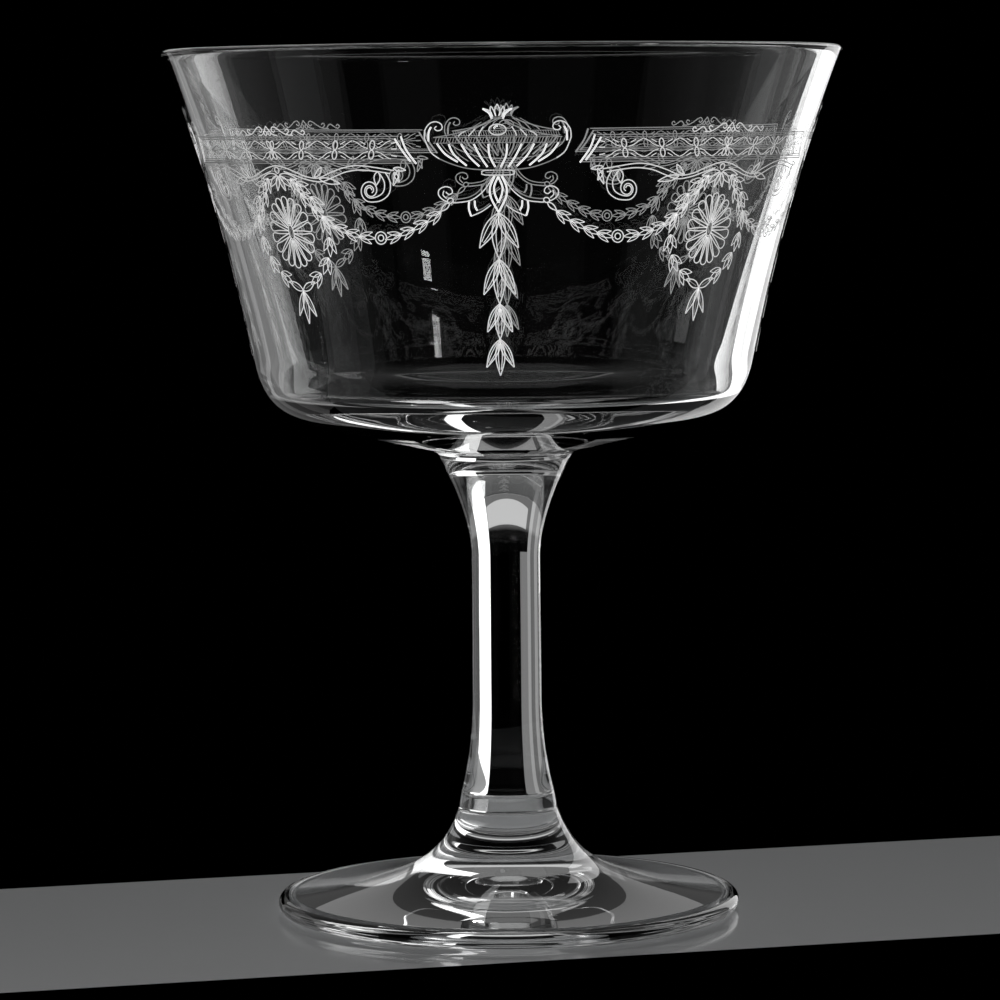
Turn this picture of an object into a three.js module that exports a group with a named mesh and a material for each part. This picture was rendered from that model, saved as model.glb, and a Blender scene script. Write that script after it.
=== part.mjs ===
import * as THREE from "three";

// A champagne saucer in clear glass: a broad flared bowl with a thick base, a solid round stem and a
// wide foot. It is formed as three members and fused end to end, so the bowl meets the stem, and the
// stem meets the foot, at a flat round joint face.
// Millimetres, +Z up. The origin is the centre of the ring that the foot stands on.

const HEIGHT = 125;
const SEGMENTS = 56;

// Joint faces
const BOWL_JOINT = { z: 66.5, radius: 9.7 };
const BOWL_JOINT_CORNER = { radius: 10, z: 66.95 };
const FOOT_JOINT = { z: 15, radius: 7.1 };

// Bowl, outside: a shallow cone, a tight bend, then a wall that flares more and more towards the rim
const CONE_START = { radius: 11.5, z: 67.3 };
const CONE_END = { radius: 28.8, z: 71.3 };
const BEND_CORNER = { radius: 34.7, z: 72.66 };
const BELLY = { radius: 36.1, z: 80 };
const OUTER_SLOPE = 0.19;
const OUTER_FLARE = 0.00218;

// Bowl, inside: a nearly flat floor, a small corner, then the same kind of wall
const FLOOR_CENTRE_Z = 75;
const FLOOR_EDGE = { radius: 29.6, z: 75.35 };
const CORNER = { radius: 31.77, z: 75.5 };
const INNER_START = { radius: 32.25, z: 77.6 };
const INNER_SLOPE = 0.2309;
const INNER_FLARE = 0.0016;

// Rim: the top of the wall is fire-polished to a low half-oval. It starts and ends a little before the
// oval's widest points, where its sides run with the sloping wall
const LIP = { halfWidth: 1.12, height: 0.6, tilt: Math.PI / 16 };

// Stem: a slender shaft that spreads to the bowl above and to a soft shoulder below
const SHAFT_TOP = { radius: 4.95, z: 51.5 };
const SHAFT_BOTTOM = { radius: 5.04, z: 30.4 };
const TOP_FLARE_CORNER = { radius: SHAFT_TOP.radius, z: 57.3 };
const SHOULDER = { radius: 6.95, z: 17.5 };
const SHOULDER_NECK = { radius: 5.2, z: 21.5 };

// Foot: a hyperbolic flare to a thin round edge, with a shallow dome under its middle
const FOOT_RADIUS = 33.6;
const FOOT_EDGE_RADIUS = 1.26;
const FLARE_AXIS_RADIUS = 2;
const FLARE_OUTER_RADII = [27, 22];
const FLARE_STEEP_FROM_Z = 4.6;
const DOME_RADIUS = 24;
const DOME_DEPTH = 3.2;

const CLEAR_GLASS = { roughness: 0.04, metalness: 0, transparent: true, opacity: 0.35 };

const point = ({ radius, z }) => new THREE.Vector2(radius, z);

// A run of points on a curve, without its first point
const along = (curve, steps) => curve.getPoints(steps).slice(1);

// A run of points at equal steps between two numbers, both ends included
function stepped(from, to, steps, place) {
  return Array.from({ length: steps + 1 }, (_, i) => place(from + ((to - from) * i) / steps));
}

// A closed body turned about Z from an outline of (radius, height) points
function turned(name, outline, colour) {
  const geometry = new THREE.LatheGeometry(outline, SEGMENTS);
  geometry.rotateX(Math.PI / 2);
  const material = new THREE.MeshStandardMaterial({ color: colour, ...CLEAR_GLASS });
  const mesh = new THREE.Mesh(geometry, material);
  mesh.name = name;
  return mesh;
}

function wallPoint(start, slope, flare, z) {
  const rise = z - start.z;
  return new THREE.Vector2(start.radius + slope * rise + flare * rise * rise, z);
}

const outerWall = (z) => wallPoint(BELLY, OUTER_SLOPE, OUTER_FLARE, z);
const innerWall = (z) => wallPoint(INNER_START, INNER_SLOPE, INNER_FLARE, z);

function lip() {
  const z = HEIGHT - LIP.height;
  const radius = (outerWall(z).x + innerWall(z).x) / 2;
  return new THREE.EllipseCurve(
    radius,
    z,
    LIP.halfWidth,
    LIP.height,
    -LIP.tilt,
    Math.PI - LIP.tilt,
  );
}

function bowl() {
  const wallTop = HEIGHT - 2 * LIP.height;
  const fillet = new THREE.QuadraticBezierCurve(
    point(BOWL_JOINT),
    point(BOWL_JOINT_CORNER),
    point(CONE_START),
  );
  const bend = new THREE.QuadraticBezierCurve(point(CONE_END), point(BEND_CORNER), point(BELLY));
  const corner = new THREE.QuadraticBezierCurve(
    point(INNER_START),
    point(CORNER),
    point(FLOOR_EDGE),
  );
  return turned("bowl", [
    new THREE.Vector2(0, BOWL_JOINT.z),
    point(BOWL_JOINT),
    ...along(fillet, 3),
    point(CONE_END),
    ...along(bend, 7),
    ...stepped(BELLY.z, wallTop, 9, outerWall).slice(1),
    ...lip().getPoints(16),
    ...stepped(wallTop, INNER_START.z, 8, innerWall),
    ...along(corner, 6),
    new THREE.Vector2(0, FLOOR_CENTRE_Z),
  ], 0xdfe7ea);
}

function stem() {
  const shoulder = new THREE.CubicBezierCurve(
    point(FOOT_JOINT),
    point(SHOULDER),
    point(SHOULDER_NECK),
    point(SHAFT_BOTTOM),
  );
  const topFlare = new THREE.QuadraticBezierCurve(
    point(SHAFT_TOP),
    point(TOP_FLARE_CORNER),
    point(BOWL_JOINT),
  );
  return turned("stem", [
    new THREE.Vector2(0, FOOT_JOINT.z),
    point(FOOT_JOINT),
    ...along(shoulder, 8),
    point(SHAFT_TOP),
    ...along(topFlare, 8),
    new THREE.Vector2(0, BOWL_JOINT.z),
  ], 0xd9e2e6);
}

function foot() {
  const dome = (radius) =>
    new THREE.Vector2(radius, (DOME_DEPTH * (1 + Math.cos((Math.PI * radius) / DOME_RADIUS))) / 2);
  const edgeCentre = FOOT_RADIUS - FOOT_EDGE_RADIUS;
  const edge = new THREE.EllipseCurve(
    edgeCentre,
    FOOT_EDGE_RADIUS,
    FOOT_EDGE_RADIUS,
    FOOT_EDGE_RADIUS,
    -Math.PI / 2,
    Math.PI / 2,
  );
  const flareArea = FOOT_JOINT.z * (FOOT_JOINT.radius - FLARE_AXIS_RADIUS);
  const flare = (z) => new THREE.Vector2(FLARE_AXIS_RADIUS + flareArea / z, z);
  return turned("foot", [
    ...stepped(0, DOME_RADIUS, 8, dome),
    ...edge.getPoints(8),
    ...FLARE_OUTER_RADII.map((radius) => flare(flareArea / (radius - FLARE_AXIS_RADIUS))),
    ...stepped(FLARE_STEEP_FROM_Z, FOOT_JOINT.z, 9, flare),
    new THREE.Vector2(0, FOOT_JOINT.z),
  ], 0xdde5e8);
}

const glass = new THREE.Group();
glass.add(bowl(), stem(), foot());

export default glass;
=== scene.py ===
from math import atan2, ceil, cos, degrees, hypot, pi, radians, sin, sqrt, tan

import bpy
from mathutils import Matrix, Vector


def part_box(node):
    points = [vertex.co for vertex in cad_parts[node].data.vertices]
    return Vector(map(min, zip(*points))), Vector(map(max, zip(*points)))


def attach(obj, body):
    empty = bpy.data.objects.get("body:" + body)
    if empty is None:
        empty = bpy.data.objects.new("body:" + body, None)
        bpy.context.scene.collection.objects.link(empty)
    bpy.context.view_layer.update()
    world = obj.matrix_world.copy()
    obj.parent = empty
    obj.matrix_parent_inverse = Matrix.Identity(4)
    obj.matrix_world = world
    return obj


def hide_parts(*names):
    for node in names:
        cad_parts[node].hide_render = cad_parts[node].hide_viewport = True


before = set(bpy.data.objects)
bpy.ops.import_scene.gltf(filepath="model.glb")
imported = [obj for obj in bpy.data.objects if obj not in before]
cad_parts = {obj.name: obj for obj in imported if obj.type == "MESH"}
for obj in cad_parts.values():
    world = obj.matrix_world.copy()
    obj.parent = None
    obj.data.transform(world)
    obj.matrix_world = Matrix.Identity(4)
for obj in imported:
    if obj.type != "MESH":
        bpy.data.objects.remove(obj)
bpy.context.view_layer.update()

# A champagne saucer in clear glass with an etched frieze. Outlines and the frieze are laid out in
# millimetres and turned into metres when a mesh is made. +Z is up, and the camera looks along +Y.
MM = 0.001

ROOT = "root"


# ---------------------------------------------------------------- outline of the glass

def from_frame(node):
    """The lowest and highest corners of a CAD node in millimetres."""
    low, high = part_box(node)
    return low / MM, high / MM


BOWL_LOW, BOWL_HIGH = from_frame("bowl")
FOOT_HIGH = from_frame("foot")[1]
TOP_Z = BOWL_HIGH.z
SEGMENTS = 256       # sides of a turned body

# The joint faces, and then places on the outlines, all as (radius, height)
BOWL_JOINT = (9.7, BOWL_LOW.z)
FOOT_JOINT = (7.1, FOOT_HIGH.z)

# Bowl, outside: a shallow cone, a tight bend and a flared wall
BOWL_JOINT_CORNER = (10.0, 66.95)
CONE_START, CONE_END = (11.5, 67.3), (28.8, 71.3)
BEND_CORNER = (34.7, 72.66)
BELLY = (36.1, 80.0)
OUTER_SLOPE, OUTER_FLARE = 0.19, 0.00218

# Bowl, inside: a nearly flat floor, a small corner and the same kind of wall
FLOOR_CENTRE, FLOOR_MIDDLE = (0.0, 75.0), (14.0, 75.0)
FLOOR_EDGE, CORNER, INNER_START = (29.6, 75.35), (31.77, 75.5), (32.25, 77.6)
INNER_SLOPE, INNER_FLARE = 0.2309, 0.0016

# Rim: a low half-oval that starts and ends a little before its widest points
LIP_HALF_WIDTH, LIP_HEIGHT = 1.12, 0.6
LIP_TILT = pi / 16

# Stem: a shaft that spreads to the bowl above and to a soft shoulder below
SHAFT_TOP, SHAFT_BOTTOM = (4.95, 51.5), (5.04, 30.4)
TOP_FLARE_CORNER = (4.95, 57.3)
SHOULDER, SHOULDER_NECK = (6.95, 17.5), (5.2, 21.5)

# Foot: a hyperbolic flare to a round edge, and a shallow dome beneath. The round edge stops a little
# short of its top, and the flare starts a little outside the edge's centre
FOOT_RADIUS = FOOT_HIGH.x
FOOT_EDGE_RADIUS = 1.26
FOOT_EDGE_END = pi / 2 - 0.08
FLARE_START = FOOT_RADIUS - FOOT_EDGE_RADIUS + 0.1
FLARE_AXIS_RADIUS = 2.0
DOME_RADIUS, DOME_DEPTH = 24.0, 3.2

# Steps along each run of the outlines
FILLET_STEPS, CONE_STEPS, BEND_STEPS, WALL_STEPS, LIP_STEPS = 6, 12, 24, 36, 16
INNER_WALL_STEPS, CORNER_STEPS, FLOOR_STEPS = 32, 20, 14
SHOULDER_STEPS, SHAFT_STEPS, TOP_FLARE_STEPS = 30, 12, 28
DOME_STEPS, EDGE_STEPS, FLARE_STEPS = 24, 16, 40


def steps(start, end, count):
    """Numbers at equal steps from start to end, both included."""
    return [start + (end - start) * i / count for i in range(count + 1)]


def bezier(points, count):
    """Points on the Bezier curve of two, three or four control points, both ends included."""
    found = []
    for t in steps(0, 1, count):
        level = [Vector(p) for p in points]
        while len(level) > 1:
            level = [a.lerp(b, t) for a, b in zip(level, level[1:])]
        found.append(tuple(level[0]))
    return found


def arc(centre, half_width, half_height, start, end, count):
    """Points on part of an upright oval, from one angle to another."""
    return [
        (centre[0] + half_width * cos(a), centre[1] + half_height * sin(a))
        for a in steps(start, end, count)
    ]


def wall_radius(start, slope, flare, z):
    """The radius at height z of a wall that flares more and more above its start."""
    rise = z - start[1]
    return start[0] + slope * rise + flare * rise * rise


def outer_radius(z):
    return wall_radius(BELLY, OUTER_SLOPE, OUTER_FLARE, z)


def inner_radius(z):
    return wall_radius(INNER_START, INNER_SLOPE, INNER_FLARE, z)


def bowl_outline():
    lip_z = TOP_Z - LIP_HEIGHT
    lip_middle = ((outer_radius(lip_z) + inner_radius(lip_z)) / 2, lip_z)
    wall_top = TOP_Z - 2 * LIP_HEIGHT
    return [
        (0, BOWL_JOINT[1]),
        *bezier([BOWL_JOINT, BOWL_JOINT_CORNER, CONE_START], FILLET_STEPS),
        *bezier([CONE_START, CONE_END], CONE_STEPS)[1:],
        *bezier([CONE_END, BEND_CORNER, BELLY], BEND_STEPS)[1:],
        *[(outer_radius(z), z) for z in steps(BELLY[1], wall_top, WALL_STEPS)[1:]],
        *arc(lip_middle, LIP_HALF_WIDTH, LIP_HEIGHT, -LIP_TILT, pi - LIP_TILT, LIP_STEPS),
        *[(inner_radius(z), z) for z in steps(wall_top, INNER_START[1], INNER_WALL_STEPS)],
        *bezier([INNER_START, CORNER, FLOOR_EDGE], CORNER_STEPS)[1:],
        *bezier([FLOOR_EDGE, FLOOR_MIDDLE, FLOOR_CENTRE], FLOOR_STEPS)[1:],
    ]


def stem_outline():
    return [
        (0, FOOT_JOINT[1]),
        *bezier([FOOT_JOINT, SHOULDER, SHOULDER_NECK, SHAFT_BOTTOM], SHOULDER_STEPS),
        *bezier([SHAFT_BOTTOM, SHAFT_TOP], SHAFT_STEPS)[1:],
        *bezier([SHAFT_TOP, TOP_FLARE_CORNER, BOWL_JOINT], TOP_FLARE_STEPS)[1:],
        (0, BOWL_JOINT[1]),
    ]


def foot_outline():
    flare_area = FOOT_JOINT[1] * (FOOT_JOINT[0] - FLARE_AXIS_RADIUS)
    edge_middle = (FOOT_RADIUS - FOOT_EDGE_RADIUS, FOOT_EDGE_RADIUS)
    start_z = flare_area / (FLARE_START - FLARE_AXIS_RADIUS)
    heights = [start_z * (FOOT_JOINT[1] / start_z) ** t for t in steps(0, 1, FLARE_STEPS)]
    return [
        *[(r, DOME_DEPTH * (1 + cos(pi * r / DOME_RADIUS)) / 2) for r in steps(0, DOME_RADIUS, DOME_STEPS)],
        *arc(edge_middle, FOOT_EDGE_RADIUS, FOOT_EDGE_RADIUS, -pi / 2, FOOT_EDGE_END, EDGE_STEPS),
        *[(FLARE_AXIS_RADIUS + flare_area / z, z) for z in heights],
        (0, FOOT_JOINT[1]),
    ]


# ---------------------------------------------------------------- meshes

def new_piece(name, vertices, faces, materials):
    """A mesh object from points in millimetres."""
    mesh = bpy.data.meshes.new(name)
    mesh.from_pydata([(x * MM, y * MM, z * MM) for x, y, z in vertices], [], faces)
    for material in materials:
        mesh.materials.append(material)
    mesh.update()
    piece = bpy.data.objects.new(name, mesh)
    bpy.context.scene.collection.objects.link(piece)
    return piece


def turned_piece(name, outline, materials, joint_heights):
    """A closed body turned about Z. The flat discs at the joint heights get the second material."""
    vertices, rings = [], []
    for radius, z in outline:
        if radius == 0:
            rings.append([len(vertices)])
            vertices.append((0, 0, z))
            continue
        first = len(vertices)
        rings.append(list(range(first, first + SEGMENTS)))
        for i in range(SEGMENTS):
            a = 2 * pi * i / SEGMENTS
            vertices.append((radius * cos(a), radius * sin(a), z))
    faces, on_joint = [], []
    for lower, upper in zip(rings, rings[1:]):
        flat = vertices[lower[0]][2] == vertices[upper[0]][2] and vertices[lower[0]][2] in joint_heights
        for i in range(SEGMENTS):
            j = (i + 1) % SEGMENTS
            corners = [
                lower[i % len(lower)], lower[j % len(lower)], upper[j % len(upper)], upper[i % len(upper)],
            ]
            faces.append(list(dict.fromkeys(corners)))
            on_joint.append(flat)
    piece = new_piece(name, vertices, faces, materials)
    for polygon, flat in zip(piece.data.polygons, on_joint):
        polygon.use_smooth = not flat
        polygon.material_index = 1 if flat else 0
    return piece


# ---------------------------------------------------------------- strokes of the frieze

BOLD = 0.25          # width of a deeply cut line
LINE = 0.155         # width of a drawn line
THIN = 0.115         # width of a line in the small husks
SOFT = 0.13          # width of a greyer line
FINE = 0.085         # width of a hatch line, which is also greyer
PROUD = 0.03         # how far a stroke stands out of the glass
SUNK = 0.03          # how far it reaches into the glass
STEP = 0.33          # spacing of the points along a stroke
OVAL_POINTS = 12     # points that an oval is smoothed through
COIL_POINTS = 10     # points in each turn of a coil
COIL_LEAST = 8       # fewest points in a coil
LEVEL_STEPS = 24     # steps along a level line
INNER_FACE = 2       # of a stroke's four long faces, the one inside the glass
LEAF_FULLNESS = 0.85     # below 1, a leaf is widest nearer its base
VEIN = (0.22, 0.8)       # start and end of a leaf's middle vein, as shares of its length
INNER_LEAF = (0.14, 0.84)    # the same for the narrower leaf inside it
INNER_SHARE = 0.42       # breadth of the narrower leaf as a share of the leaf's
SIDE_BREADTH = 0.85      # breadth of a husk's side leaves as a share of the middle one's
FRIEZE_TURN = -0.9   # degrees that the front urn stands away from the camera's side
SECTORS = 4          # an urn faces each side, with a medallion between two urns
HALF_SECTOR = 180 / SECTORS
BOLD_TONE, LINE_TONE, GREY_TONE, INNER_PAINTED_SHADE_TONE = range(4)
TONES = {BOLD: BOLD_TONE, LINE: LINE_TONE, THIN: LINE_TONE, SOFT: GREY_TONE, FINE: GREY_TONE}


def outward(z):
    """The outer wall's normal at height z, as (radial, vertical)."""
    slope = OUTER_SLOPE + 2 * OUTER_FLARE * (z - BELLY[1])
    length = sqrt(1 + slope * slope)
    return 1 / length, -slope / length


def smooth(points, closed=False):
    """Points at about STEP apart on a Catmull-Rom curve through these ones."""
    points = [Vector(p) for p in points]
    ends = (points[-1], points[0], points[1]) if closed else (points[0], points[-1], points[-1])
    chain = [ends[0], *points, ends[1], ends[2]] if closed else [ends[0], *points, ends[1]]
    found = []
    for a, b, c, d in zip(chain, chain[1:], chain[2:], chain[3:]):
        count = max(1, ceil((c - b).length / STEP))
        for t in steps(0, 1, count)[:-1]:
            found.append(0.5 * (2 * b + (c - a) * t + (2 * a - 5 * b + 4 * c - d) * t * t
                                + (3 * b - a - 3 * c + d) * t * t * t))
    if not closed:
        found.append(points[-1])
    return found


class Etching:
    """Strokes on the outside of the bowl, gathered into one mesh.

    A motif is drawn in its own flat millimetres: across to the right, and height. It is wrapped
    onto the wall about the angle it stands at, and mirrored where mirror is -1.
    """

    def __init__(self, name):
        self.name = name
        self.vertices = []
        self.faces = []
        self.tones = []

    def stroke(self, path, turn, mirror=1, closed=False, width=LINE):
        """Add a closed prism along a path, with its outer face just proud of the glass."""
        places, normals = [], []
        for across, z in path:
            angle = radians(turn) + mirror * across / outer_radius(z)
            radial, vertical = outward(z)
            normal = Vector((radial * sin(angle), -radial * cos(angle), vertical))
            places.append(Vector((outer_radius(z) * sin(angle), -outer_radius(z) * cos(angle), z)))
            normals.append(normal)
        count = len(places)
        first = len(self.vertices)
        for i, (place, normal) in enumerate(zip(places, normals)):
            before = places[i - 1] if closed or i > 0 else place
            after = places[(i + 1) % count] if closed or i + 1 < count else place
            side = (after - before).cross(normal).normalized() * width / 2
            for offset in (
                side + normal * PROUD, -side + normal * PROUD, -side - normal * SUNK, side - normal * SUNK,
            ):
                self.vertices.append(place + offset)
        for i in range(count if closed else count - 1):
            a, b = first + 4 * i, first + 4 * ((i + 1) % count)
            for k in range(4):
                m = (k + 1) % 4
                self.faces.append((a + k, b + k, b + m, a + m))
                # The face inside the glass gets a darker tone with weaker painted emission: painted shade
                # on the strokes seen from behind
                self.tones.append(INNER_PAINTED_SHADE_TONE if k == INNER_FACE else TONES[width])
        if not closed:
            last = first + 4 * (count - 1)
            self.faces.append((first, first + 1, first + 2, first + 3))
            self.faces.append((last + 3, last + 2, last + 1, last))
            self.tones += [TONES[width]] * 2

    def draw(self, motif, turn, mirror=1):
        """Add every stroke of a motif about the angle turn, in degrees from the camera's side."""
        for path, closed, width in motif:
            self.stroke(path, turn, mirror, closed, width)

    def piece(self, materials):
        made = new_piece(self.name, self.vertices, self.faces, materials)
        made.data.polygons.foreach_set("material_index", self.tones)
        return made


def line(points, width=LINE):
    return (smooth(points), False, width)


def loop(points, width=LINE):
    return (smooth(points, True), True, width)


def straight(a, b, width=LINE):
    a, b = Vector(a), Vector(b)
    count = max(1, ceil((b - a).length / (2 * STEP)))
    return ([a.lerp(b, t) for t in steps(0, 1, count)], False, width)


def oval(centre, half_width, half_height, lean=0.0, width=LINE):
    points = []
    for i in range(OVAL_POINTS):
        a = 2 * pi * i / OVAL_POINTS
        x, y = half_width * cos(a), half_height * sin(a)
        points.append(
            (centre[0] + x * cos(lean) - y * sin(lean), centre[1] + x * sin(lean) + y * cos(lean)),
        )
    return loop(points, width)


def spiral(centre, start, turns, outer, inner):
    """Points of a coil from its outer end to its eye. start is in degrees; negative turns are clockwise."""
    points = []
    for t in steps(0, 1, max(COIL_LEAST, int(abs(turns) * COIL_POINTS))):
        a = radians(start + 360 * turns * t)
        r = outer + (inner - outer) * t
        points.append((centre[0] + r * cos(a), centre[1] + r * sin(a)))
    return points


def mirrored(motif):
    """The motif and its mirror image about its own middle line."""
    return motif + [([(-x, z) for x, z in path], closed, width) for path, closed, width in motif]


def heading(degrees_from_down):
    """A unit vector, with 0 straight down and positive to the right."""
    a = radians(degrees_from_down)
    return Vector((sin(a), -cos(a)))


def leaf(base, direction, length, breadth, veins=1, width=LINE):
    """A pointed leaf outline with a narrower leaf or a vein inside it."""
    base = Vector(base)
    side = Vector((-direction.y, direction.x))
    strokes = []

    def edge(share, start, end):
        return [
            base + direction * (length * t) + side * (share * breadth / 2 * sin(pi * t ** LEAF_FULLNESS))
            for t in steps(start, end, max(4, ceil(length / STEP)))
        ]

    for share in (-1, 1):
        strokes.append((edge(share, 0, 1), False, width))
    if veins == 1:
        strokes.append((edge(0, *VEIN), False, FINE))
    elif veins == 2:
        for share in (-INNER_SHARE, INNER_SHARE):
            strokes.append((edge(share, *INNER_LEAF), False, THIN))
    return strokes


def husk(apex, pointing, length, breadth, spread=28, side_length=0.72, veins=1, width=LINE):
    """Three leaves from one point: the middle one longest."""
    strokes = leaf(apex, heading(pointing), length, breadth, veins, width)
    for side in (-1, 1):
        strokes += leaf(
            apex, heading(pointing + side * spread), length * side_length, breadth * SIDE_BREADTH,
            veins, width,
        )
    return strokes


# ---------------------------------------------------------------- motifs of the frieze

BAND_LOW, BAND_HIGH = 109.0, 112.6
KNOT_Z = 107.4


def urn():
    """A shallow lidded urn with scroll handles and a leaf crown."""
    rim_top, rim_low, hatches = 112.4, 111.65, 42
    half = [line([(-9.9, 112.3), (-9.1, 110.5), (-7.9, 109.55)])]
    half += [line([(-7.9, 109.55), (-6.4, 108.9), (-4.4, 108.3), (-2.2, 108.05), (0, 108.0)], SOFT)]
    half += [line([(-9.9, 112.3), (-9.8, 113.4), (-9.1, 114.3), (-8.2, 114.5), (-7.5, 114.1), (-7.5, 113.5),
                   (-8.1, 113.3), (-8.5, 113.6), (-8.2, 113.9)])]
    half += [line([(-9.35, 111.9), (-9.3, 113.1), (-8.95, 113.8)], BOLD)]
    # Gadroons of the body: a deep line with a thin one beside it
    for top, knee, low in (
        ((-8.2, 111.6), (-7.1, 110.2), (-5.4, 109.1)),
        ((-6.6, 111.5), (-5.9, 110.1), (-4.2, 108.6)),
        ((-4.9, 111.5), (-3.9, 109.9), (-2.5, 108.5)),
        ((-3.2, 111.5), (-2.4, 109.9), (-1.4, 108.4)),
        ((-1.25, 111.5), (-1.1, 109.9), (-0.35, 108.4)),
    ):
        half += [line([top, knee, low], BOLD)]
        half += [line(
            [(top[0] + 0.55, top[1]), (knee[0] + 0.5, knee[1] + 0.15), (low[0] + 0.25, low[1] + 0.6)],
            FINE,
        )]
    # Lid: its outline and the lines that spread from the crown to the rim
    half += [line([(-8.6, rim_top), (-5.9, 112.85), (-3.6, 113.5), (-1.6, 114.2), (-0.75, 114.8)], SOFT)]
    for knee, low in (
        ((-1.9, 113.8), (-2.5, 112.55)), ((-3.0, 113.5), (-3.9, 112.55)), ((-4.3, 113.2), (-5.3, 112.55)),
    ):
        half += [line([(knee[0] * 0.5, 114.4), knee], FINE), line([knee, (knee[0] - 0.5, 113.0), low])]
    # Crown
    half += [
        line([(-0.75, 114.85), (-1.1, 115.6), (-1.95, 116.2)], BOLD),
        line([(-1.95, 116.2), (-1.0, 115.9), (-0.7, 115.3)]),
    ]
    half += [line([(-0.6, 115.1), (-0.95, 115.9), (-0.85, 116.5), (-0.45, 115.9), (-0.25, 115.3)])]
    half += [line([(-0.2, 115.2), (-0.35, 116.0), (0, 116.8)])]
    strokes = mirrored(half)
    strokes += [
        straight((-0.8, 115.05), (0.8, 115.05), FINE),
        straight((-0.8, 114.85), (0.8, 114.85), FINE),
    ]
    strokes += [oval((0, 113.4), 1.15, 0.72), oval((0.1, 113.2), 0.7, 0.35, 0, FINE)]
    strokes += [line([(-0.5, 113.55), (-0.25, 113.85), (0.05, 113.9)], BOLD)]
    for z in (rim_top, rim_low):
        strokes += [straight((-8.7, z), (8.7, z), FINE)]
    for x in steps(-8.5, 8.3, hatches):
        strokes += [straight((x, rim_low), (x + 0.25, rim_top), FINE)]
    strokes += [
        line([(-0.3, 111.4), (0, 110.3), (0.35, 111.4)], FINE),
        line([(0, 111.5), (0.05, 109.9)], FINE),
    ]
    strokes += [
        loop(
            [(-2.15, 107.65), (-1.8, 107.95), (1.8, 107.95), (2.15, 107.65), (1.8, 107.35), (-1.8, 107.35)],
        ),
    ]
    strokes += [straight((-1.7, 107.65), (1.7, 107.65), FINE)]
    return strokes


def urn_base():
    """Leaves, curled arms and shields under the urn."""
    half = [line([(-0.45, 107.2), (-1.1, 105.7), (-1.0, 104.3), (0, 102.3)], BOLD)]
    half += [line([(0, 107.1), (-0.55, 105.8), (-0.45, 104.7), (0, 103.6)], BOLD)]
    half += [line([(-0.9, 107.2), (-1.6, 106.0), (-1.5, 104.9)], FINE)]
    half += [line([(-1.1, 107.2), (-2.5, 105.3), (-3.9, 104.4), (-5.6, 104.1), (-6.1, 104.15)], SOFT)]
    half += [line([(-0.6, 107.2), (-1.9, 105.3), (-3.6, 104.0), (-5.5, 103.65), (-6.2, 103.65)])]
    half += [oval((-6.5, 103.9), 0.42, 0.34, 0.3)]
    half += [line([
        (-6.9, 103.75), (-7.6, 104.1), (-8.1, 104.7), (-8.0, 105.4), (-7.2, 105.8), (-6.4, 105.6),
        (-6.2, 105.0), (-6.7, 104.75), (-7.1, 105.1),
    ])]
    half += [line([(-7.0, 104.2), (-7.5, 104.7), (-7.35, 105.25)])]
    half += [
        line([(-3.95, 103.8), (-4.0, 102.8), (-3.7, 101.8)], BOLD),
        line([(-3.2, 103.9), (-3.15, 103.1), (-2.85, 102.55)], BOLD),
    ]
    half += [
        line([(-3.7, 101.8), (-2.3, 102.4), (-1.0, 103.3)]),
        line([(-2.85, 102.55), (-2.0, 102.9), (-1.2, 103.5)], FINE),
    ]
    return mirrored(half)


def drop():
    """Four leaf clusters that hang under the urn, each from the tip of the one above."""
    strokes = []
    tips = (102.2, 95.9, 89.8, 84.95, 80.0)
    for top, tip, breadth, spread in zip(tips, tips[1:], (1.85, 1.6, 1.3, 1.25), (29, 24, 24, 26)):
        strokes += husk((0, top), 0, top - tip, breadth, spread, 0.86, 2)
    return strokes


def sector_point(angle, z):
    """A place given by its angle from the urn, as (across, height) from the urn."""
    return (radians(angle) * outer_radius(z), z)


def level(z, start, width=FINE):
    """A level line from the angle start to the middle of the medallion."""
    return ([sector_point(a, z) for a in steps(start, HALF_SECTOR, LEVEL_STEPS)], False, width)


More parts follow.
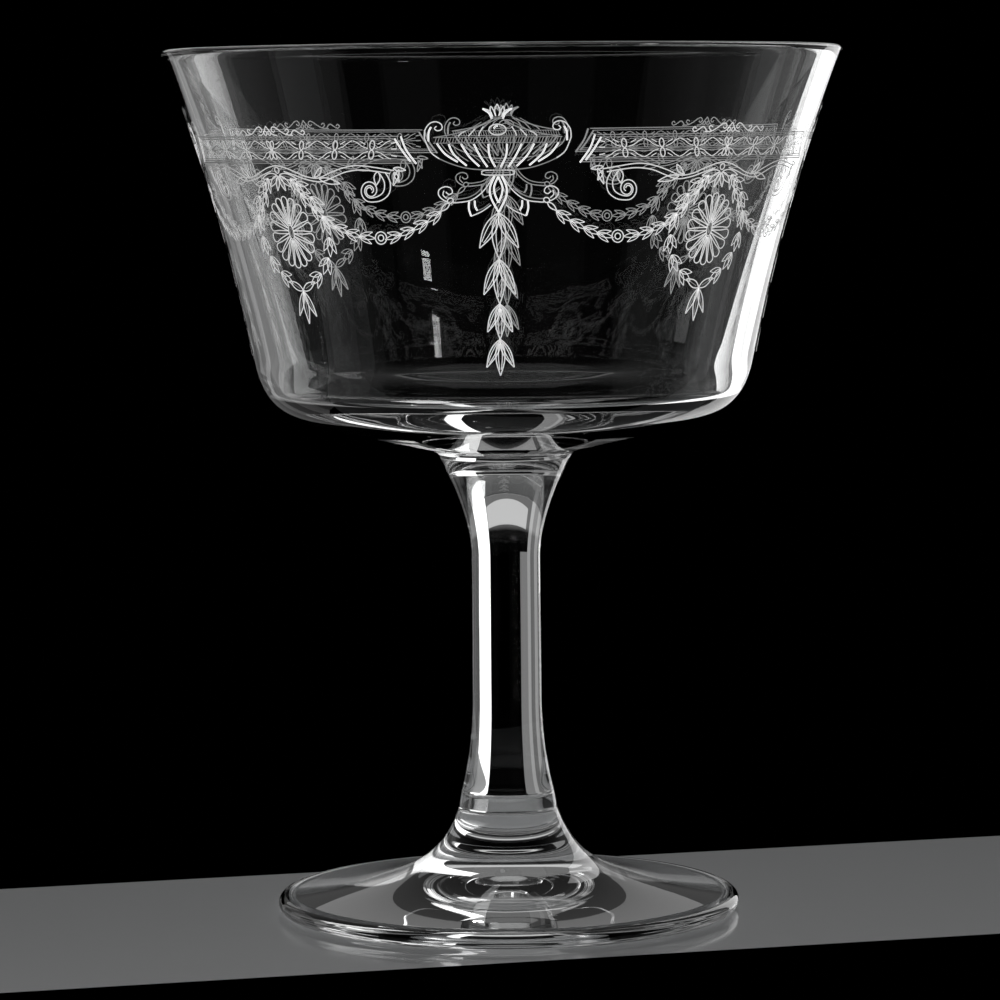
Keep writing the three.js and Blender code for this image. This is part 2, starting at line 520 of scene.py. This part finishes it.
def band():
    """Tied leaves between two double lines, closed by a curved end. Drawn from the urn to the medallion."""
    low_start, high_start = 15.4, 18.0
    strokes = [
        level(BAND_LOW, low_start - 0.6, SOFT), level(BAND_LOW + 0.3, low_start),
        level(BAND_LOW + 0.55, low_start + 0.3),
    ]
    strokes += [level(BAND_HIGH - 0.3, high_start), level(BAND_HIGH, high_start - 0.6, SOFT)]
    strokes += [line([(13.2, BAND_HIGH), (12.5, 110.8), (11.1, BAND_LOW - 0.1)], BOLD)]
    strokes += [line([(14.1, BAND_HIGH - 0.3), (13.0, 110.6), (11.9, BAND_LOW + 0.2)], BOLD)]
    middle = (BAND_LOW + BAND_HIGH) / 2
    spacing = 5.7
    half = spacing / 2
    last = sector_point(HALF_SECTOR, middle)[0]
    ties = [last - spacing * k for k in range(4)]
    for tie in ties:
        strokes += [
            oval((tie - 0.1, middle + 0.65), 0.36, 0.62, 0.2),
            oval((tie + 0.1, middle - 0.65), 0.36, 0.62, 0.2),
        ]
        strokes += [line([(tie + 0.35, middle - 1.2), (tie + 0.7, middle - 1.35)], FINE)]
        bays = (-1,) if tie == last else (-1, 1)
        for side in bays:
            for rise in (-1, 1):
                # One leaf edge that runs from the tie to the band's edge, and the leaf's own middle line
                strokes += [line(
                    [
                        (tie + side * 0.55, middle + rise * 0.2), (tie + side * 1.3, middle + rise * 0.42),
                        (tie + side * 2.1, middle + rise * 0.95), (tie + side * 2.8, middle + rise * 1.25),
                    ],
                    THIN,
                )]
                strokes += [line(
                    [(tie + side * 0.9, middle + rise * 0.75), (tie + side * 1.7, middle + rise * 1.15)],
                    THIN,
                )]
                strokes += [line(
                    [(tie + side * 1.2, middle + rise * 0.15), (tie + side * 2.8, middle + rise * 0.55)],
                    FINE,
                )]
            strokes += [line([(tie + side * 0.7, middle), (tie + side * half, middle - side * 0.12)], FINE)]
    end = ties[-1] - half
    for rise in (-0.75, 0.1, 0.85):
        strokes += [line([(end, middle + rise), (end - 0.8, middle + rise * 1.2)])]
    return strokes


def crest():
    """Scrolls that meet in three loops above the band, over the medallion's left half."""
    z = BAND_HIGH + 0.12
    strokes = [line([
        (-6.5, z + 0.55), (-6.8, z + 0.8), (-7.1, z + 0.5), (-6.7, z + 0.15), (-6.1, z + 0.4),
        (-5.4, z + 0.8), (-4.9, z + 0.55), (-4.5, z + 0.1),
    ])]
    strokes += [line([
        (-4.9, z + 0.1), (-3.7, z + 0.2), (-2.8, z + 0.6), (-2.0, z + 1.1), (-1.35, z + 1.25),
        (-0.95, z + 0.85), (-1.3, z + 0.5), (-1.65, z + 0.75),
    ])]
    strokes += [line([(-3.6, z + 0.75), (-4.1, z + 0.95), (-4.25, z + 0.6), (-3.7, z + 0.25)])]
    strokes += [line([(-1.9, z + 0.1), (-1.1, z + 0.2), (-0.5, z + 0.75), (0, z + 1.35)])]
    strokes += [oval((-0.42, z + 0.4), 0.28, 0.3)]
    return strokes


def volute():
    """The scroll under the band: a double coil near the urn, then a double wave to the medallion's knot."""
    eye = (17.9, 105.3)
    outer = [(15.6, 107.8), (14.9, 106.4), (15.1, 104.9), (16.2, 104.0)]
    inner = [(16.4, 107.6), (15.75, 106.4), (15.9, 105.2), (16.6, 104.6)]
    strokes = [line(outer + spiral(eye, -105, 1.75, 1.6, 0.25))]
    strokes += [line(inner + spiral(eye, -110, 0.95, 1.05, 0.4))]
    upper = [
        (14.3, 108.0), (16.9, 108.4), (19.6, 108.7), (21.9, 108.4), (24.2, 107.7), (26.2, 107.0),
        (28.3, 107.2), (30.2, 107.8), (32.2, 108.4), sector_point(HALF_SECTOR, 108.7),
    ]
    lower = [
        (14.9, 107.6), (16.9, 107.9), (19.4, 108.1), (21.7, 107.8), (23.7, 107.1), (25.7, 106.5),
        (28.3, 106.8), (30.5, 107.4), (32.5, 107.9),
    ]
    strokes += [line(upper), line(lower)]
    # The bud inside the coil, the buds at its left and the leaves where the wave dips
    strokes += leaf((16.7, 107.9), heading(8), 1.9, 0.9, 0)
    strokes += leaf((14.4, 108.3), heading(-82), 1.8, 0.5, 0)
    strokes += leaf((13.6, 108.1), heading(22), 2.3, 0.55, 0)
    strokes += leaf((14.3, 107.8), heading(-28), 1.5, 0.5, 0)
    strokes += leaf((26.0, 106.9), heading(-79), 3.5, 0.75, 0)
    strokes += [line([(25.6, 108.5), (25.7, 107.7), (26.3, 107.25), (26.9, 107.1)])]
    strokes += [line([(25.6, 108.5), (26.3, 108.0), (26.9, 107.1)])]
    return strokes


def rosette():
    """An oval daisy of round-ended petals about a small oval eye."""
    centre, reach = Vector((0, 99.5)), Vector((4.3, 4.95))
    strokes = [oval(centre, 0.5, 1.0), oval(centre, 0.22, 0.6, 0, FINE)]
    petals = 18
    for i in range(petals):
        a = 2 * pi * (i + 0.5) / petals
        tip = Vector((reach.x * cos(a), reach.y * sin(a)))
        base = Vector((0.62 * cos(a), 1.15 * sin(a)))
        side = Vector((-tip.y, tip.x)).normalized()
        half = hypot(reach.x * sin(a), reach.y * cos(a)) * pi / petals * 0.74
        path = [base, base.lerp(tip, 0.5) + side * half * 0.5, base.lerp(tip, 0.88) + side * half,
                tip, base.lerp(tip, 0.88) - side * half, base.lerp(tip, 0.5) - side * half * 0.5, base]
        strokes += [line([centre + p for p in path])]
    return strokes


def wreath():
    """The oval of husks about the rosette, its knot, and the pendant under it."""
    centre, half_width, half_height = Vector((0, 99.7)), 7.0, 7.3
    husks, first, apart = 6, 64, 23.5
    half = []
    for i in range(husks):
        a = radians(first - i * apart)
        place = centre + Vector((-half_width * cos(a), half_height * sin(a)))
        along = Vector((-half_width * sin(a), -half_height * cos(a))).normalized()
        pointing = degrees(atan2(along.x, -along.y)) + 4
        half += husk(place, pointing, 2.75, 0.85, 27, 0.86, 0, THIN)
    half += leaf((-0.3, KNOT_Z), heading(-81), 3.3, 0.85, 1)
    half += leaf((-0.2, KNOT_Z - 0.1), heading(-52), 2.5, 0.75, 1)
    half += leaf((-0.1, KNOT_Z - 0.2), heading(-20), 2.1, 0.65, 1)
    half += leaf((0, 91.4), heading(-116), 2.9, 0.95, 1)
    strokes = mirrored(half)
    strokes += [oval((0, KNOT_Z + 0.65), 0.42, 0.42)]
    strokes += husk((0, 91.3), 0, 4.5, 1.0, 27, 0.86, 1)
    return strokes


def garland(route, count, length):
    """Slender husks along a route, each pointing along it."""
    samples, ahead = 60, 8      # points on the route, and how far ahead the husk at one of them points
    path = bezier(route, samples)
    strokes = []
    for i in range(count):
        at = int(samples * i / count)
        along = (Vector(path[min(samples, at + ahead)]) - Vector(path[at])).normalized()
        strokes += husk(path[at], degrees(atan2(along.x, -along.y)), length, 0.6, 22, 0.84, 0, THIN)
    return strokes


def swag():
    """Husk garlands from the urn's arm down to a bead, and from the medallion's knot down to the bead."""
    bead = (16.5, 98.85)
    strokes = [oval(bead, 0.85, 0.85), oval(bead, 0.42, 0.42)]
    strokes += leaf((6.6, 103.6), heading(48), 1.7, 0.6, 0)
    strokes += garland([(7.8, 102.4), (11.5, 99.6), (bead[0] - 1.1, bead[1])], 4, 2.5)
    strokes += garland([(31.3, 106.9), (25.0, 99.0), (bead[0] + 1.2, bead[1])], 7, 2.6)
    return strokes


# ---------------------------------------------------------------- materials

GLASS_COLOUR = (0.985, 0.99, 0.99, 1)
GLASS_IOR = 1.52
# Faint waves in the glass: scale, detail, strength and depth in metres
WAVES = (55, 2, 0.02, 0.0004)
# Haze on the glass: scale and detail, and its greatest roughness
HAZE_SCALE, HAZE_DETAIL = 900, 3
HAZE_ROUGHNESS = 0.012
# Grain of the etching: scale, detail, strength and depth in metres, and its roughness
GRAIN = (9000, 4, 0.6, 0.00004)
SMOOTHEST, ROUGHEST = 0.45, 0.75
FLOOR_COLOUR = (0.62, 0.63, 0.64, 1)
FLOOR_ROUGHNESS = 0.1
RAMP_START, RAMP_END = 0.3, 0.7
EDGE_PAINTED_GLOW = 0.3      # share of the strokes' painted emission that is left where a stroke is seen edge-on
# Grey and painted emission of each tone, in the order of the strokes' tone numbers. The emission is painted
# light: the strokes light themselves with no lamp behind it
ETCHED_TONES = (
    ("etched_bold", 0.9, 0.9),
    ("etched_line", 0.8, 0.62),
    ("etched_grey", 0.5, 0.2),
    # The tone of the faces inside the glass: painted shade, the same frost made darker and with less
    # painted emission
    ("etched_inner_painted_shade", 0.5, 0.2),
)


def node_material(name):
    """A material with a Principled shader, and that shader."""
    material = bpy.data.materials.new(name)
    material.use_nodes = True
    nodes = material.node_tree.nodes
    nodes.clear()
    output = nodes.new("ShaderNodeOutputMaterial")
    shader = nodes.new("ShaderNodeBsdfPrincipled")
    material.node_tree.links.new(shader.outputs["BSDF"], output.inputs["Surface"])
    return material, shader


def add_noise(material, scale, detail):
    nodes, links = material.node_tree.nodes, material.node_tree.links
    coordinates = nodes.new("ShaderNodeTexCoord")
    noise = nodes.new("ShaderNodeTexNoise")
    noise.inputs["Scale"].default_value = scale
    noise.inputs["Detail"].default_value = detail
    links.new(coordinates.outputs["Object"], noise.inputs["Vector"])
    return noise


def add_bump(material, shader, noise, strength, distance):
    """Raise the shader's surface by the noise; the distance is in metres."""
    nodes, links = material.node_tree.nodes, material.node_tree.links
    bump = nodes.new("ShaderNodeBump")
    bump.inputs["Strength"].default_value = strength
    bump.inputs["Distance"].default_value = distance
    links.new(noise.outputs["Fac"], bump.inputs["Height"])
    links.new(bump.outputs["Normal"], shader.inputs["Normal"])


def add_ramp(material, source, socket, low, high):
    """Set a socket from low to high as the source goes from the ramp's start to its end."""
    nodes, links = material.node_tree.nodes, material.node_tree.links
    ramp = nodes.new("ShaderNodeMapRange")
    ramp.inputs["From Min"].default_value = RAMP_START
    ramp.inputs["From Max"].default_value = RAMP_END
    ramp.inputs["To Min"].default_value = low
    ramp.inputs["To Max"].default_value = high
    links.new(source, ramp.inputs["Value"])
    links.new(ramp.outputs["Result"], socket)


def clear_glass():
    """Polished glass with faint waves and a trace of haze, which shadow rays go straight through."""
    material, shader = node_material("clear_glass")
    shader.inputs["Base Color"].default_value = GLASS_COLOUR
    shader.inputs["Transmission Weight"].default_value = 1.0
    shader.inputs["IOR"].default_value = GLASS_IOR
    scale, detail, strength, depth = WAVES
    add_bump(material, shader, add_noise(material, scale, detail), strength, depth)
    haze = add_noise(material, HAZE_SCALE, HAZE_DETAIL)
    add_ramp(material, haze.outputs["Fac"], shader.inputs["Roughness"], 0.0, HAZE_ROUGHNESS)
    nodes, links = material.node_tree.nodes, material.node_tree.links
    rays = nodes.new("ShaderNodeLightPath")
    clear = nodes.new("ShaderNodeBsdfTransparent")
    mix = nodes.new("ShaderNodeMixShader")
    links.new(rays.outputs["Is Shadow Ray"], mix.inputs["Fac"])
    links.new(shader.outputs["BSDF"], mix.inputs[1])
    links.new(clear.outputs["BSDF"], mix.inputs[2])
    links.new(mix.outputs["Shader"], nodes["Material Output"].inputs["Surface"])
    return material


def fused_joint():
    """The joint discs inside the fused glass, which let light straight through."""
    material, shader = node_material("fused_joint")
    shader.inputs["Alpha"].default_value = 0.0
    return material


def etched_glass(name, grey, painted_glow):
    """Frosted glass of one tone. Its emission is painted light, standing in for the light that the cut
    lines scatter.

    The painted light is weaker where the wall turns away from the eye.
    """
    material, shader = node_material(name)
    shader.inputs["Base Color"].default_value = (grey, grey, grey, 1)
    shader.inputs["Emission Color"].default_value = (1, 1, 1, 1)
    facing = material.node_tree.nodes.new("ShaderNodeLayerWeight")
    # Painted light: emission on the frost, full where a stroke faces the eye and fading towards its edges
    add_ramp(material, facing.outputs["Facing"], shader.inputs["Emission Strength"], painted_glow, painted_glow * EDGE_PAINTED_GLOW)
    scale, detail, strength, depth = GRAIN
    grain = add_noise(material, scale, detail)
    add_ramp(material, grain.outputs["Fac"], shader.inputs["Roughness"], SMOOTHEST, ROUGHEST)
    add_bump(material, shader, grain, strength, depth)
    return material


def pale_floor():
    material, shader = node_material("pale_floor")
    shader.inputs["Base Color"].default_value = FLOOR_COLOUR
    shader.inputs["Roughness"].default_value = FLOOR_ROUGHNESS
    return material


# ---------------------------------------------------------------- the pieces

def make_glass():
    """The three turned glass pieces, each in place of its CAD node."""
    glass, joint = clear_glass(), fused_joint()
    made = {
        "bowl": turned_piece("bowl_glass", bowl_outline(), [glass, joint], (BOWL_JOINT[1],)),
        "stem": turned_piece("stem_glass", stem_outline(), [glass, joint], (BOWL_JOINT[1], FOOT_JOINT[1])),
        "foot": turned_piece("foot_glass", foot_outline(), [glass, joint], (FOOT_JOINT[1],)),
    }
    for node, piece in made.items():
        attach(piece, ROOT)
        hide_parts(node)


def make_frieze():
    """The etched pieces, each with its motif repeated round the bowl."""
    materials = [etched_glass(name, grey, painted_glow) for name, grey, painted_glow in ETCHED_TONES]
    motifs = {
        "etched_urns": (urn() + urn_base(), 0, False),
        "etched_drops": (drop(), 0, False),
        "etched_bands": (band(), 0, True),
        "etched_crests": (crest(), HALF_SECTOR, True),
        "etched_volutes": (volute(), 0, True),
        "etched_rosettes": (rosette(), HALF_SECTOR, False),
        "etched_wreaths": (wreath(), HALF_SECTOR, False),
        "etched_swags": (swag(), 0, True),
    }
    for name, (motif, offset, both_ways) in motifs.items():
        etching = Etching(name)
        for sector in range(SECTORS):
            turn = FRIEZE_TURN + offset + sector * 360 / SECTORS
            etching.draw(motif, turn)
            if both_ways:
                etching.draw(motif, turn, mirror=-1)
        piece = etching.piece(materials)
        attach(piece, ROOT)


# ---------------------------------------------------------------- camera, light and stage

# The camera's place in metres, and its pitch below level and its roll in degrees
CAMERA_DISTANCE = 0.6235
CAMERA_HEIGHT = 0.1157
CAMERA_PITCH = 5.13
CAMERA_ROLL = -0.5
CAMERA_SIDE = -0.0008
LENS, SENSOR_WIDTH = 155.5, 36
CAMERA_CLIP = 0.01
PANEL_DISTANCE = 0.8
# Each panel's azimuth (0 is straight behind, positive to the right) and width in degrees, its lowest and
# highest edge in metres, and its brightness
PANELS = {
    "key": (30.5, 22, -0.62, 0.85, 1.6),
    "key_top": (-2, 42, 0.215, 0.36, 0.42),
    "left_back": (-22.5, 11, -0.62, 0.025, 0.2),
    "left_back_light": (-31, 6, -0.62, 0.42, 0.34),
    "left_back_dark": (-39, 10, -0.62, 0.42, 0.14),
    "left_light": (-50, 12, -0.62, 0.42, 0.34),
    "left_dark": (-63, 14, -0.62, 0.42, 0.15),
    "left": (-75, 10, -0.05, 0.2, 1.2),
    "left_far": (-88, 16, -0.05, 0.2, 0.3),
    "right": (62, 40, -0.62, 0.42, 0.09),
    "right_front": (112.5, 25, -0.62, 0.42, 0.03),
    "front_right": (157.5, 25, -0.62, 0.42, 0.01),
    "front_left": (-145, 22, -0.62, -0.1, 0.02),
    "left_front": (-107, 22, -0.62, 0.42, 0.06),
    "window": (142, 4, 0.37, 0.43, 30.0),
}
OVERHEAD_BRIGHTNESS, OVERHEAD_SIDE, OVERHEAD_HEIGHT = 0.25, 0.7, 1.1
# The sky's grey comes in between two elevations in degrees. From the far side to the near side it fades
# to a share of itself, between two values of a direction's Y
SKY_BRIGHTNESS = 0.16
SKY_START, SKY_FULL = 9, 12
SKY_FRONT = 0.08
SKY_NEAR_Y, SKY_FAR_Y = -0.3, 0.4
# The shelf in millimetres before its turn in degrees; its face is a hair under the foot
SHELF_HALF_WIDTH, SHELF_FRONT, SHELF_BACK, SHELF_Z = 400, -40, 37, -0.05
SHELF_TURN = 14.5


def make_camera():
    camera = bpy.data.objects.new("camera", bpy.data.cameras.new("camera"))
    camera.data.lens = LENS
    camera.data.sensor_width = SENSOR_WIDTH
    camera.data.clip_start = CAMERA_CLIP
    place = Matrix.Translation((CAMERA_SIDE, -CAMERA_DISTANCE, CAMERA_HEIGHT))
    pitch = Matrix.Rotation(radians(90 - CAMERA_PITCH), 4, "X")
    roll = Matrix.Rotation(radians(CAMERA_ROLL), 4, "Z")
    camera.matrix_world = place @ (pitch @ roll)
    bpy.context.scene.collection.objects.link(camera)
    bpy.context.scene.camera = camera


def add_panel(name, azimuth, spread, low, high, brightness):
    """An upright soft panel that faces the glass and that the camera doesn't see."""
    data = bpy.data.lights.new(name, "AREA")
    data.shape = "RECTANGLE"
    data.size = 2 * PANEL_DISTANCE * tan(radians(spread / 2))
    data.size_y = high - low
    data.energy = brightness * pi * data.size * data.size_y
    panel = bpy.data.objects.new(name, data)
    a = radians(azimuth)
    place = Matrix.Translation((PANEL_DISTANCE * sin(a), PANEL_DISTANCE * cos(a), (low + high) / 2))
    upright = Matrix.Rotation(-pi / 2, 4, "X")
    panel.matrix_world = place @ Matrix.Rotation(-a, 4, "Z") @ upright
    panel.visible_camera = False
    bpy.context.scene.collection.objects.link(panel)


def add_overhead():
    """A square soft light above the glass."""
    data = bpy.data.lights.new("overhead", "AREA")
    data.size = OVERHEAD_SIDE
    data.energy = OVERHEAD_BRIGHTNESS * pi * OVERHEAD_SIDE * OVERHEAD_SIDE
    overhead = bpy.data.objects.new("overhead", data)
    overhead.location = (0, 0, OVERHEAD_HEIGHT)
    overhead.visible_camera = False
    bpy.context.scene.collection.objects.link(overhead)


def make_sky():
    """Black at eye level and softly grey above, mostly on the far side of the glass."""
    world = bpy.data.worlds.new("studio")
    world.use_nodes = True
    nodes, links = world.node_tree.nodes, world.node_tree.links
    coordinates = nodes.new("ShaderNodeTexCoord")
    parts = nodes.new("ShaderNodeSeparateXYZ")
    product = nodes.new("ShaderNodeMath")
    links.new(coordinates.outputs["Generated"], parts.inputs["Vector"])
    product.operation = "MULTIPLY"
    ramps = (
        ("Z", sin(radians(SKY_START)), sin(radians(SKY_FULL)), 0.0, SKY_BRIGHTNESS),
        ("Y", SKY_NEAR_Y, SKY_FAR_Y, SKY_FRONT, 1.0),
    )
    for i, (way, start, full, low, high) in enumerate(ramps):
        ramp = nodes.new("ShaderNodeMapRange")
        ramp.inputs["From Min"].default_value = start
        ramp.inputs["From Max"].default_value = full
        ramp.inputs["To Min"].default_value = low
        ramp.inputs["To Max"].default_value = high
        links.new(parts.outputs[way], ramp.inputs["Value"])
        links.new(ramp.outputs["Result"], product.inputs[i])
    background = nodes["Background"]
    background.inputs["Color"].default_value = (1, 1, 1, 1)
    links.new(product.outputs["Value"], background.inputs["Strength"])
    bpy.context.scene.world = world


def make_lights():
    for name, settings in PANELS.items():
        add_panel(name, *settings)
    add_overhead()
    make_sky()
    bpy.context.scene.view_settings.view_transform = "Standard"


def make_floor():
    """A pale glossy shelf, a little deeper than the foot, that runs past the picture's sides."""
    turn = Matrix.Rotation(radians(SHELF_TURN), 3, "Z")
    corners = [
        turn @ Vector((x, y, SHELF_Z))
        for x, y in (
            (-SHELF_HALF_WIDTH, SHELF_FRONT), (SHELF_HALF_WIDTH, SHELF_FRONT),
            (SHELF_HALF_WIDTH, SHELF_BACK), (-SHELF_HALF_WIDTH, SHELF_BACK),
        )
    ]
    new_piece("floor", corners, [(0, 1, 2, 3)], [pale_floor()])


make_camera()
make_lights()
make_floor()
make_glass()
make_frieze()
